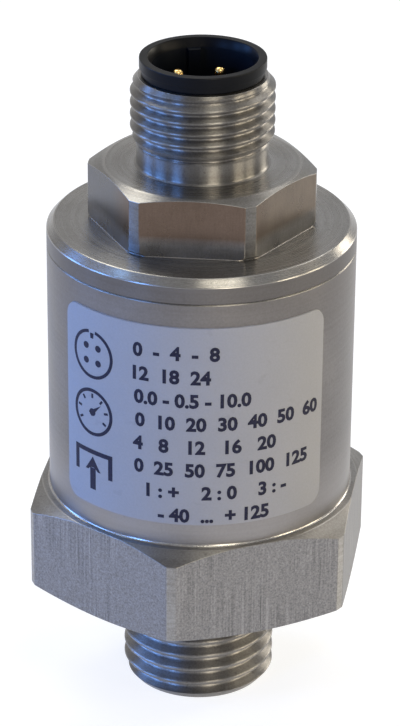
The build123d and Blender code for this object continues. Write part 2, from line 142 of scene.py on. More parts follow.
class TransmitterColours(bpy.types.PropertyGroup):
    """Colours of the finishes, as linear values."""

    turned: bpy.props.FloatVectorProperty(
        name="Turned steel", description="Steel as the lathe leaves it", size=3,
        default=(0.250, 0.243, 0.238), subtype="COLOR", min=0.0, max=1.0,
    )
    matt: bpy.props.FloatVectorProperty(
        name="Matt steel", description="Fine matt steel of the barrel", size=3,
        default=(0.172, 0.165, 0.166), subtype="COLOR", min=0.0, max=1.0,
    )
    chamfered: bpy.props.FloatVectorProperty(
        name="Chamfered steel", description="Turned chamfers of the large hexagon", size=3,
        default=(0.200, 0.192, 0.185), subtype="COLOR", min=0.0, max=1.0,
    )
    drawn: bpy.props.FloatVectorProperty(
        name="Drawn steel", description="Flats of the drawn hexagon bar", size=3,
        default=(0.225, 0.220, 0.224), subtype="COLOR", min=0.0, max=1.0,
    )
    polished: bpy.props.FloatVectorProperty(
        name="Polished steel", description="Bright neck and plug thread", size=3,
        default=(0.165, 0.158, 0.152), subtype="COLOR", min=0.0, max=1.0,
    )
    # The brown of this colour is a painted reflection
    milled: bpy.props.FloatVectorProperty(
        name="Milled steel", description="Milled flats of the small hexagon", size=3,
        default=(0.120, 0.087, 0.068), subtype="COLOR", min=0.0, max=1.0,
    )
    carrier: bpy.props.FloatVectorProperty(
        name="Contact carrier", description="Black moulded plastic", size=3,
        default=(0.0040, 0.0045, 0.0065), subtype="COLOR", min=0.0, max=1.0,
    )
    gold: bpy.props.FloatVectorProperty(
        name="Contact gold", description="Gold plate of the contacts", size=3,
        default=(0.80, 0.55, 0.22), subtype="COLOR", min=0.0, max=1.0,
    )
    film: bpy.props.FloatVectorProperty(
        name="Label film", description="Silver-white polyester film", size=3,
        default=(0.258, 0.258, 0.275), subtype="COLOR", min=0.0, max=1.0,
    )
    ink: bpy.props.FloatVectorProperty(
        name="Label ink", description="Dark blue-black ink", size=3,
        default=(0.010, 0.010, 0.022), subtype="COLOR", min=0.0, max=1.0,
    )


class TransmitterStudio(bpy.types.PropertyGroup):
    """Floor, lights and camera."""

    floor_width: bpy.props.FloatProperty(
        name="Floor width", description="Width of the pale floor",
        default=6.0, unit="LENGTH", subtype="DISTANCE",
    )
    strip_strength: bpy.props.FloatProperty(
        name="Strip light", description="Brightness of a strip light's face", default=10.0, min=0.0,
    )
    sky_strength: bpy.props.FloatProperty(
        name="Soft light", description="Brightness of the light from all sides", default=0.12, min=0.0,
    )
    lens: bpy.props.FloatProperty(
        name="Lens", description="Focal length of the camera", default=157.09, unit="CAMERA",
    )


# Turned and milled skins


class Corner:
    """A corner of a turned section: radius and height in millimetres, one value or one for each
    column. blunt is how far it is rounded, in that many steps, and rounding the finish there;
    finish is that of the faces up to the next corner, and a wear value up to 1 paints the edge
    brighter, partly for wear and partly as a painted highlight."""

    def __init__(self, radius, height, blunt=0.0, finish=TURNED, steps=2, wear_and_highlight=0.4, rounding=None):
        self.radius = radius
        self.height = height
        self.blunt = blunt
        self.finish = finish
        self.rounding = finish if rounding is None else rounding
        self.steps = steps
        self.wear_and_highlight = wear_and_highlight


class Ring:
    """One ring of points (radius, height), with the finish of the faces up to the next ring.
    On a thread, climb is the number of rings in one turn."""

    def __init__(self, points, finish, wear_and_highlight=0.0, climb=0):
        self.points = points
        self.finish = finish
        self.wear_and_highlight = wear_and_highlight
        self.climb = climb


def ring_angles(count, creases=(), spread=0.004, start=math.pi / 2):
    """Angles round a ring from start, even but for two close pairs about each crease. spread is
    half the gap between the inner two, in radians."""
    turn = 2 * math.pi
    even = start + np.arange(count) * turn / count
    creases = np.asarray(creases, float)
    if not creases.size:
        return even
    offsets = np.array([-1.7, -1.0, 1.0, 1.7]) * spread
    close = (creases[:, None] + offsets[None, :]).ravel()
    close = start + (close - start) % turn
    gap = np.abs((even[:, None] - creases[None, :] + math.pi) % turn - math.pi).min(axis=1)
    keep = gap > 3.5 * spread
    keep[0] = True
    return np.unique(np.concatenate([even[keep], close]))


def hexagon_columns(count, across_flats, turned_r, flat_angle):
    """Angles round a hexagon whose corners are turned to strips, and its radius at each."""
    sixth = math.pi / 3
    half = math.acos(across_flats / 2 / turned_r)
    creases = [flat_angle + side * half + k * sixth for k in range(6) for side in (-1, 1)]
    angles = ring_angles(count, creases)
    off = (angles - flat_angle + sixth / 2) % sixth - sixth / 2
    return angles, np.minimum(across_flats / 2 / np.cos(off), turned_r)


def section_rings(corners, count, closed=True):
    """Rings through a list of corners, ready rings passed on. Each corner with a blunt value is
    rounded, and held straight on both sides so that the faces beside it shade flat."""
    places = []
    for item in corners:
        if isinstance(item, Corner):
            radius = np.broadcast_to(item.radius, count)
            height = np.broadcast_to(item.height, count)
            places.append((np.stack([radius, height], axis=1),) * 2)
        else:
            places.append((item[0].points, item[-1].points))
    rings = []
    for i, item in enumerate(corners):
        if not isinstance(item, Corner):
            rings.extend(item)
            continue
        here = places[i][0]
        last = i == len(corners) - 1
        ends = not closed and (i == 0 or last)
        if item.blunt == 0 or ends:
            rings.append(Ring(here, item.finish))
            continue
        before = places[i - 1][1] - here
        after = places[0 if last else i + 1][0] - here
        far_before = np.maximum(np.linalg.norm(before, axis=1), 1e-6)[:, None]
        far_after = np.maximum(np.linalg.norm(after, axis=1), 1e-6)[:, None]
        reach = np.minimum(item.blunt, REACH_SHARE * np.minimum(far_before, far_after))
        into, out = before / far_before, after / far_after
        first, final = here + into * reach, here + out * reach
        earlier = corners[i - 1]
        finish_before = earlier.finish if isinstance(earlier, Corner) else earlier[-1].finish
        rings.append(Ring(first + into * reach * HOLD, finish_before))
        for step in range(item.steps + 1):
            s = step / item.steps
            curve = (1 - s) ** 2 * first + 2 * s * (1 - s) * here + s**2 * final
            rings.append(Ring(curve, item.rounding if step < item.steps else item.finish, item.wear_and_highlight))
        rings.append(Ring(final + out * reach * HOLD, item.finish))
    return rings


def thread_rings(angles, low, high, crest_z, pitch, crest_r, depth, form, envelope, fade, finish):
    """Rings that climb a helix between two heights, with a crest through crest_z at the first
    angle. form lists (share of a turn, share of the depth) over half a thread from its crest to
    its root. envelope gives the plain outside."""
    half = np.array(form)
    shares, depths = np.concatenate([half[::-1] * (-1, 1), half[1:]]).T
    turns = (angles - angles[0]) / (2 * math.pi)

    def radius(heights):
        phase = ((heights - crest_z) / pitch - turns + 0.5) % 1.0 - 0.5
        cut = depth * np.interp(phase, shares, depths)
        ease = share_between(heights, low, low + fade[0]) * share_between(heights, high, high - fade[1])
        ease = ease * ease * (3 - 2 * ease)
        return np.minimum(envelope(heights), crest_r - cut * ease)

    rings = []
    first_turn = math.floor((low - crest_z) / pitch) - 1
    for turn in range(first_turn, math.ceil((high - crest_z) / pitch) + 1):
        for share in shares[:-1]:
            heights = np.clip(crest_z + pitch * (turn + share + turns), low, high)
            points = np.stack([radius(heights), heights], axis=1)
            rings.append(Ring(points, finish, climb=len(shares) - 1))
    return rings


def skin(name, angles, rings, closed, materials, turned_strips=None, flat_finish=None, strip_finish=None):
    """Mesh object through the rings, welded, with its faces' finishes and a value on its edges that
    paints them brighter, partly for wear and partly as a painted highlight. turned_strips marks
    the columns where a hexagon's corner is turned and not flat."""
    count, columns = len(rings), len(angles)
    cos, sin = np.cos(angles), np.sin(angles)
    verts = np.concatenate(
        [
            np.stack([r.points[:, 0] * cos, r.points[:, 0] * sin, r.points[:, 1]], axis=1)
            for r in rings
        ]
    )
    ends = [i for i, ring in enumerate(rings) if ring.climb]
    last_climb = ends[-1] if ends else 0
    partner = [min(i + ring.climb, last_climb) if ring.climb else i for i, ring in enumerate(rings)]
    faces, finishes = [], []
    for i in range(count if closed else count - 1):
        k = (i + 1) % count
        for j in range(columns - 1):
            a, b = i * columns + j, k * columns + j
            faces.append((a, a + 1, b + 1, b))
        faces.append(
            (
                i * columns + columns - 1,
                partner[i] * columns,
                partner[k] * columns,
                k * columns + columns - 1,
            )
        )
        row = np.full(columns, rings[i].finish)
        if rings[i].finish == flat_finish:
            row[turned_strips & np.roll(turned_strips, -1)] = strip_finish
        finishes.extend(row.tolist())
    mesh = bpy.data.meshes.new(name)
    mesh.from_pydata((verts * MM).tolist(), [], faces)
    mesh.polygons.foreach_set("material_index", finishes)
    wear_and_highlight = np.zeros((count, columns), np.float32)
    for i, ring in enumerate(rings):
        wear_and_highlight[i] = ring.wear_and_highlight
    mesh.attributes.new("wear_and_highlight", "FLOAT", "POINT").data.foreach_set("value", wear_and_highlight.ravel())
    weld(mesh)
    mesh.shade_smooth()
    mesh.set_sharp_from_angle(angle=SHARP_ANGLE)
    for material in materials:
        mesh.materials.append(material)
    return place(name, mesh)


def weld(mesh):
    """Joins points that coincide, drops faces without area and turns all faces outwards."""
    soup = bmesh.new()
    soup.from_mesh(mesh)
    bmesh.ops.remove_doubles(soup, verts=soup.verts, dist=WELD_GAP)
    bmesh.ops.dissolve_degenerate(soup, edges=soup.edges, dist=FACE_GAP)
    bmesh.ops.recalc_face_normals(soup, faces=soup.faces)
    soup.to_mesh(mesh)
    soup.free()


def place(name, mesh):
    piece = bpy.data.objects.new(name, mesh)
    bpy.context.scene.collection.objects.link(piece)
    return piece


def share_between(value, start, end, least=0.0):
    """How far values are on the way from start to end, held between least and 1."""
    return np.clip((value - start) / (end - start), least, 1)


def plain_envelope(points):
    """Outside radius at each height, straight between (height, radius) points."""
    heights, radii = zip(*points)
    return lambda z: np.interp(z, heights, radii)


# Finishes, whose noise scales are counts to the metre


class Nodes:
    """A node tree, filled and joined by short calls."""

    def __init__(self, owner):
        owner.use_nodes = True
        self.tree = owner.node_tree
        self.tree.nodes.clear()

    def feed(self, socket, value):
        """Joins a socket to another one, or gives it a value."""
        if isinstance(value, bpy.types.NodeSocket):
            self.tree.links.new(value, socket)
        elif socket.type == "RGBA" and len(value) == 3:
            socket.default_value = (*value, 1.0)
        else:
            socket.default_value = value

    def add(self, kind, inputs=(), **settings):
        """A node with its settings, and its inputs by name or by number."""
        node = self.tree.nodes.new(kind)
        for key, value in settings.items():
            setattr(node, key, value)
        for key, value in dict(inputs).items():
            self.feed(node.inputs[key.replace("_", " ") if isinstance(key, str) else key], value)
        return node

    def maths(self, operation, first, second=0.0):
        return self.add("ShaderNodeMath", {0: first, 1: second}, operation=operation).outputs[0]

    def vector(self, operation, inputs, output=0):
        return self.add("ShaderNodeVectorMath", inputs, operation=operation).outputs[output]

    def total(self, first, *others):
        for value in others:
            first = self.maths("ADD", first, value)
        return first

    def span(self, value, low, high, to_low=0.0, to_high=1.0):
        """Maps a value from one range to another, held at its ends."""
        ends = {"From Min": low, "From Max": high, "To Min": to_low, "To Max": to_high}
        return self.add("ShaderNodeMapRange", {"Value": value, **ends}).outputs["Result"]

    def mottle(self, noise, to_low, to_high):
        """Maps the middle of a noise, where nearly all of it lies, to a range."""
        return self.span(noise, 0.3, 0.7, to_low, to_high)

    def blend(self, share, first, second):
        return self.add("ShaderNodeMix", {0: share, 6: first, 7: second}, data_type="RGBA").outputs[2]


class Finish(Nodes):
    """One material, from the coordinates on the part to its surface."""

    def __init__(self, name, **surface):
        self.material = bpy.data.materials.new(name)
        super().__init__(self.material)
        self.surface = self.add("ShaderNodeBsdfPrincipled", surface)
        self.add("ShaderNodeOutputMaterial", {"Surface": self.surface.outputs["BSDF"]})
        self.where = self.add("ShaderNodeTexCoord").outputs["Object"]

    def along(self, axis):
        """How far along the part's own X, Y or Z, in metres."""
        return self.add("ShaderNodeSeparateXYZ", {0: self.where}).outputs[axis]

    def lathe_lines(self, pitch, waver=0.02):
        """Coordinates in four dimensions that change quickly across a lathe's marks and slowly
        along them."""
        split = self.add("ShaderNodeSeparateXYZ", {0: self.where}).outputs
        flat = self.add("ShaderNodeCombineXYZ", {"X": split["X"], "Y": split["Y"]}).outputs[0]
        radius = self.vector("LENGTH", {0: flat}, "Value")
        heading = self.add("ShaderNodeSeparateXYZ", {0: self.vector("NORMALIZE", {0: flat})}).outputs
        lines = 1 / (pitch * MM)
        places = {
            "X": self.maths("MULTIPLY", radius, lines),
            "Y": self.maths("MULTIPLY", split["Z"], lines),
            "Z": self.maths("MULTIPLY", heading["X"], waver / pitch),
        }
        across = self.add("ShaderNodeCombineXYZ", places).outputs[0]
        return across, self.maths("MULTIPLY", heading["Y"], waver / pitch)

    def noise(self, scale, detail, roughness=0.5, lines=None):
        """Noise of one scale, or of one scale along each axis, or along the lathe's lines."""
        inputs = {"Vector": self.where, "Scale": scale, "Detail": detail, "Roughness": roughness}
        settings = {}
        if isinstance(scale, tuple):
            inputs["Vector"] = self.vector("MULTIPLY", {0: self.where, 1: scale})
            inputs["Scale"] = 1.0
        elif lines:
            inputs["Vector"], inputs["W"] = lines
            settings["noise_dimensions"] = "4D"
        return self.add("ShaderNodeTexNoise", inputs, **settings).outputs["Fac"]

    def brighten_edges(self, base, share, bright):
        """Edges painted brighter where the mesh marks them, partly for wear and partly as painted
        highlights.
        """
        edges = self.add("ShaderNodeAttribute", attribute_name="wear_and_highlight").outputs["Fac"]
        return self.blend(self.maths("MULTIPLY", edges, share), base, bright)

    def bump(self, height, strength, depth, **under):
        inputs = {"Height": height, "Strength": strength, "Distance": depth * MM, **under}
        return self.add("ShaderNodeBump", inputs).outputs["Normal"]

    def use(self, base, spread, **others):
        """Joins the base colour, the roughness and other inputs to the surface."""
        for key, value in {"Base Color": base, "Roughness": spread, **others}.items():
            self.feed(self.surface.inputs[key], value)
        return self.material


def shade(colour, factor, warm=0.0):
    """A colour made lighter or darker, and warmer or cooler."""
    return tuple(
        max(0.0, min(1.0, c * factor * (1 + w)))
        for c, w in zip(colour, (warm, 0.0, -warm))
    )


def turned_steel(name, colour, roughness, pitch=0.11, depth=0.004, grain=0.8):
    """Steel off the lathe: fine rings, a soft sheen across them, and edges painted brighter for wear and as
    painted highlights.
    """
    finish = Finish(name, Metallic=1.0, Anisotropic=grain, Anisotropic_Rotation=0.25)
    lines = finish.lathe_lines(pitch)
    fine = finish.noise(1.0, detail=3.0, lines=lines)
    broad = finish.noise(0.16, detail=2.0, lines=lines)
    cloud = finish.noise(260.0, detail=4.0)
    pits = finish.span(finish.noise(2100.0, detail=1.0), 0.27, 0.33)
    speckle = finish.noise(6200.0, detail=2.0, roughness=0.7)
    rings = finish.mottle(broad, -0.3, 0.3)
    tone = finish.total(rings, finish.mottle(cloud, 0.0, 0.5), finish.mottle(speckle, -0.2, 0.7))
    base = finish.blend(tone, shade(colour, 0.80, 0.02), shade(colour, 1.20, -0.01))
    base = finish.blend(pits, shade(colour, 0.8), base)
    base = finish.brighten_edges(base, 0.7, shade(colour, 1.7))
    spread = finish.span(fine, 0.25, 0.75, roughness * 0.8, roughness * 1.25)
    tangent = finish.add("ShaderNodeTangent", direction_type="RADIAL", axis="Z").outputs[0]
    normal = finish.bump(fine, 0.5, depth)
    return finish.use(base, spread, Tangent=tangent, Normal=normal)


def matt_steel(name, colour):
    """The barrel: a fine even grain, faint lines round it, a few small marks, painted shade near its top
    and painted light near its foot.
    """
    finish = Finish(name, Metallic=1.0)
    rings = finish.noise(1.0, detail=3.0, lines=finish.lathe_lines(0.2, waver=0.3))
    grain = finish.noise(5200.0, detail=3.0, roughness=0.65)
    cloud = finish.noise(240.0, detail=4.0)
    marks = finish.noise((1900.0, 1900.0, 420.0), detail=2.0)
    marked = finish.mottle(rings, -0.2, 0.3)
    tone = finish.total(finish.mottle(grain, -0.25, 0.55), marked, finish.mottle(cloud, 0.0, 0.6))
    base = finish.blend(tone, shade(colour, 0.84, 0.02), shade(colour, 1.12))
    base = finish.blend(finish.span(marks, 0.30, 0.22, 0.0, 0.6), base, shade(colour, 0.6))
    height = finish.along("Z")
    # Painted shade: darker and warmer towards the barrel's top
    base = finish.blend(finish.span(height, *BARREL_TOP_PAINTED_SHADE, 0.0, 0.45), base, shade(colour, 0.75, 0.06))
    # Painted light: lighter towards the barrel's foot
    base = finish.blend(finish.span(height, *BARREL_FOOT_PAINTED_LIGHT, 0.0, 0.5), base, shade(colour, 1.9))
    base = finish.brighten_edges(base, 0.5, shade(colour, 1.5))
    normal = finish.bump(grain, 0.55, 0.010)
    normal = finish.bump(rings, 0.35, 0.006, Normal=normal)
    return finish.use(base, finish.mottle(cloud, 0.37, 0.45), Normal=normal)


def drawn_steel(name, colour):
    """Flats of drawn bar: coarse speckle, and lines along the bar that come and go."""
    finish = Finish(name, Metallic=1.0)
    streaks = finish.noise((5200.0, 5200.0, 90.0), detail=3.0, roughness=0.6)
    scratches = finish.noise((7000.0, 7000.0, 170.0), detail=1.0)
    speckle = finish.noise(6200.0, detail=2.0, roughness=0.7)
    cloud = finish.noise(190.0, detail=3.0)
    patches = finish.span(cloud, 0.42, 0.62)
    drawn = finish.maths("MULTIPLY", finish.mottle(streaks, -0.5, 0.5), patches)
    tone = finish.total(finish.span(speckle, 0.28, 0.72, -0.1, 1.0), drawn)
    base = finish.blend(tone, shade(colour, 0.64), shade(colour, 1.27))
    lines = finish.maths("MULTIPLY", finish.span(scratches, 0.34, 0.26), patches)
    base = finish.blend(finish.maths("MULTIPLY", lines, 0.75), base, shade(colour, 0.35))
    base = finish.brighten_edges(base, 0.55, shade(colour, 1.45))
    normal = finish.bump(speckle, 0.6, 0.014)
    normal = finish.bump(streaks, 0.35, 0.008, Normal=normal)
    return finish.use(base, finish.mottle(speckle, 0.42, 0.54), Normal=normal)


def milled_steel(name, colour):
    """Flats of the small hexagon: smooth milling and faint upright lines, under painted reflections:
    brown on the front flat, paler on its right, cooler on its left and greyer towards the foot."""
    finish = Finish(name, Metallic=1.0)
    streaks = finish.noise((5200.0, 5200.0, 700.0), detail=3.0)
    grain = finish.noise(7500.0, detail=3.0, roughness=0.65)
    cloud = finish.noise(420.0, detail=4.0)
    upright = finish.mottle(streaks, -0.1, 0.15)
    tone = finish.total(finish.mottle(grain, 0.0, 0.5), upright, finish.mottle(cloud, 0.0, 0.4))
    base = finish.blend(tone, shade(colour, 0.80, 0.02), shade(colour, 1.20))
    # Painted reflections: paler on the right, cooler and darker on the left, greyer towards the foot
    for axis, start, end, dark, light in MILLED_PAINTED_REFLECTIONS:
        other = finish.blend(tone, dark, light)
        base = finish.blend(finish.span(finish.along(axis), start, end), base, other)
    base = finish.brighten_edges(base, 0.5, shade(colour, 1.7))
    normal = finish.bump(grain, 0.4, 0.006)
    return finish.use(base, finish.mottle(cloud, 0.25, 0.33), Normal=normal)


def moulded_plastic(name, colour, roughness=0.42, speckle=0.006, sheen_level=0.5):
    """Moulded plastic: even colour with a fine satin grain and a few scuffs."""
    finish = Finish(name, Specular_IOR_Level=sheen_level)
    grain = finish.noise(4200.0, detail=3.0)
    cloud = finish.noise(320.0, detail=4.0)
    scuffs = finish.span(finish.noise((900.0, 900.0, 2600.0), detail=2.0), 0.62, 0.72)
    base = finish.blend(cloud, shade(colour, 0.85), shade(colour, 1.15))
    base = finish.blend(finish.maths("MULTIPLY", scuffs, 0.25), base, shade(colour, 1.8))
    spread = finish.mottle(cloud, roughness * 0.85, roughness * 1.15)
    return finish.use(base, spread, Normal=finish.bump(grain, 0.4, speckle))


def plated_metal(name, colour, roughness=0.2):
    """Bright plate or wire: nearly even colour, slightly uneven gloss."""
    finish = Finish(name, Metallic=1.0)
    cloud = finish.noise(1500.0, detail=3.0)
    base = finish.blend(cloud, shade(colour, 0.85), shade(colour, 1.12))
    spread = finish.mottle(cloud, roughness * 0.7, roughness * 1.4)
    return finish.use(base, spread, Normal=finish.bump(cloud, 0.3, 0.004))


def label_film(name, colour):
    """Matt silver-white film with a faint metallic grain and a few handling marks."""
    finish = Finish(name, Metallic=0.15, Specular_IOR_Level=0.45)
    grain = finish.noise(6500.0, detail=2.0)
    cloud = finish.noise(130.0, detail=4.0)
    smudge = finish.span(finish.noise((520.0, 520.0, 760.0), detail=3.0), 0.66, 0.74)
    tone = finish.total(finish.mottle(grain, -0.1, 0.5), finish.mottle(cloud, 0.0, 0.6))
    base = finish.blend(tone, shade(colour, 0.94), shade(colour, 1.05))
    base = finish.blend(finish.maths("MULTIPLY", smudge, 0.22), base, shade(colour, 0.6, 0.02))
    normal = finish.bump(grain, 0.25, 0.004)
    return finish.use(base, finish.mottle(cloud, 0.46, 0.56), Normal=normal)


def printed_ink(name, colour):
    """Thermal print: dark ink, a little thin in places."""
    finish = Finish(name, Specular_IOR_Level=0.15)
    grain = finish.noise(5200.0, detail=3.0)
    base = finish.blend(finish.span(grain, 0.35, 0.75), colour, shade(colour, 2.0))
    return finish.use(base, finish.mottle(grain, 0.38, 0.55))


def sintered_ceramic(name, colour):
    """Unglazed ceramic with a fine grain."""
    finish = Finish(name, Specular_IOR_Level=0.4)
    grain = finish.noise(3800.0, detail=4.0)
    base = finish.blend(grain, shade(colour, 0.92), shade(colour, 1.04))
    spread = finish.mottle(grain, 0.6, 0.78)
    return finish.use(base, spread, Normal=finish.bump(grain, 0.3, 0.01))


def board_laminate(name, colour):
    """Solder resist over a woven laminate."""
    finish = Finish(name, Specular_IOR_Level=0.5, Coat_Weight=0.3)
    threads = {"Vector": finish.where, "Scale": 900.0, "Distortion": 1.5}
    weave = finish.add("ShaderNodeTexWave", threads).outputs["Fac"]
    cloud = finish.noise(300.0, detail=3.0)
    base = finish.blend(weave, shade(colour, 0.88), shade(colour, 1.08))
    spread = finish.mottle(cloud, 0.32, 0.45)
    return finish.use(base, spread, Normal=finish.bump(weave, 0.2, 0.006))


def soft_rubber(name, colour):
    """Dull black elastomer."""
    finish = Finish(name, Specular_IOR_Level=0.35)
    bloom = finish.noise(900.0, detail=5.0)
    base = finish.blend(bloom, shade(colour, 0.8), shade(colour, 1.5))
    spread = finish.mottle(bloom, 0.6, 0.85)
    return finish.use(base, spread, Normal=finish.bump(bloom, 0.3, 0.01))


# Pieces


class TRANSMITTER_OT_process_body(bpy.types.Operator):
    """Turned body: threaded pipe stub, drawn hexagon and matt barrel, bored as the solid is."""

    bl_idname = "transmitter.process_body"
    bl_label = "Process Body"

    # Heights and radii of the section, in millimetres
    stub_r = 6.5785
    end_chamfer = 0.7
    end_chamfer_top = 0.85
    relief_r = 5.4785
    crest_z = 1.18
    relief_low = 8.05
    relief_high = 9.15
    hex_low = 10.65
    hex_high = 19.1
    land_low_r = 13.42
    land_high_r = 13.65
    land_low_rise = 0.59
    land_high_drop = 0.84
    foot_fillet = 0.42
    # The seam's two edges are broken by this much, and rounded by this much more
    seam_break = 0.08
    seam_blunt = 0.03
    flat_angle = 0.0
    # Where the thread starts, how far below the relief it stops, and how far it fades at each end
    thread_low = 0.12
    thread_stop = 0.15
    thread_fade = (0.5, 0.3)
    # The land on the hexagon's top stays this much inside its flats
    land_inset = 0.04
    bores = (
        (12.0, 41.15), (11.5, 40.65), (11.5, 24.45), (10.05, 24.45), (10.05, 20.65),
        (9.15, 20.65), (9.15, 13.4), (7.9, 13.4), (7.9, 11.9), (5.9, 11.9),
        (5.9, 13.4), (5.0, 13.4), (5.0, 12.6), (2.5, 12.6),
    )
    inlet_r = 2.5
    inlet_chamfer = 0.4
    # Half a pipe thread from crest to root: share of a turn, share of the depth
    thread_form = (
        (0.0, 0.0), (0.05, 0.012), (0.095, 0.05), (0.14, 0.13), (0.33, 0.83),
        (0.38, 0.93), (0.44, 0.985), (0.5, 1.0),
    )

    def execute(self, context):
        sizes = context.scene.transmitter_sizes
        colours = context.scene.transmitter_colours
        blunt = sizes.edge_break / MM
        angles, side = hexagon_columns(sizes.ring_columns, HEX_AF, HEX_TURNED_R, self.flat_angle)
        low_share = share_between(side, self.land_low_r, HEX_TURNED_R, least=0.03)
        low_crease = self.hex_low + self.land_low_rise * low_share
        high_share = share_between(side, self.land_high_r, HEX_TURNED_R, least=0.04)
        high_crease = self.hex_high - self.land_high_drop * high_share
        land = np.minimum(self.land_high_r, side - self.land_inset)
        outside = plain_envelope(
            [
                (0.0, self.stub_r - self.end_chamfer),
                (self.end_chamfer_top, self.stub_r),
                (self.relief_low, self.stub_r),
                (self.relief_high, self.relief_r),
            ]
        )
        thread = thread_rings(
            angles, self.thread_low, self.relief_high - self.thread_stop, self.crest_z,
            sizes.pipe_pitch / MM, self.stub_r, sizes.pipe_depth / MM, self.thread_form, outside,
            self.thread_fade, CHAMFERED,
        )
        corners = [
            Corner(self.inlet_r + self.inlet_chamfer, 0.0, blunt),
            Corner(self.stub_r - self.end_chamfer, 0.0, blunt),
            thread,
            Corner(self.relief_r, self.relief_high, 0.1),
            Corner(self.relief_r, self.hex_low, 0.15, wear_and_highlight=0.0),
            Corner(self.land_low_r, self.hex_low, blunt, CHAMFERED),
            Corner(side, low_crease, blunt / 2, DRAWN, wear_and_highlight=0.2),
            Corner(side, high_crease, blunt / 2, CHAMFERED, wear_and_highlight=0.2),
            Corner(land, self.hex_high, blunt),
            Corner(BARREL_R, self.hex_high, self.foot_fillet, MATT, steps=8, wear_and_highlight=0.0, rounding=FILLET_PAINTED_HIGHLIGHT),
            Corner(BARREL_R, SEAM_Z - self.seam_break, self.seam_blunt, CHAMFERED, wear_and_highlight=0.0),
            Corner(BARREL_R - self.seam_break, SEAM_Z, self.seam_blunt, wear_and_highlight=0.0),
        ]
        corners += [Corner(radius, height) for radius, height in self.bores]
        corners.append(Corner(self.inlet_r, self.inlet_chamfer, blunt))
        body = skin(
            "body_steelwork", angles, section_rings(corners, len(angles)), True,
            [
                turned_steel("Turned Steel", colours.turned, 0.34),
                drawn_steel("Drawn Steel", colours.drawn),
                matt_steel("Matt Steel", colours.matt),
                turned_steel("Chamfered Steel", colours.chamfered, 0.40),
                # Painted highlight: the foot fillet's steel is a lighter copy of the turned steel
                turned_steel("Fillet Highlight Steel", shade(colours.turned, 1.5), 0.24, grain=0.6),
                turned_steel("Body Strip Steel", shade(colours.turned, 1.2), 0.40, pitch=0.05, depth=0.001),
            ],
            turned_strips=side >= HEX_TURNED_R, flat_finish=DRAWN, strip_finish=BODY_STRIP,
        )
        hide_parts("process_body")
        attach(body, "root")
        return {"FINISHED"}


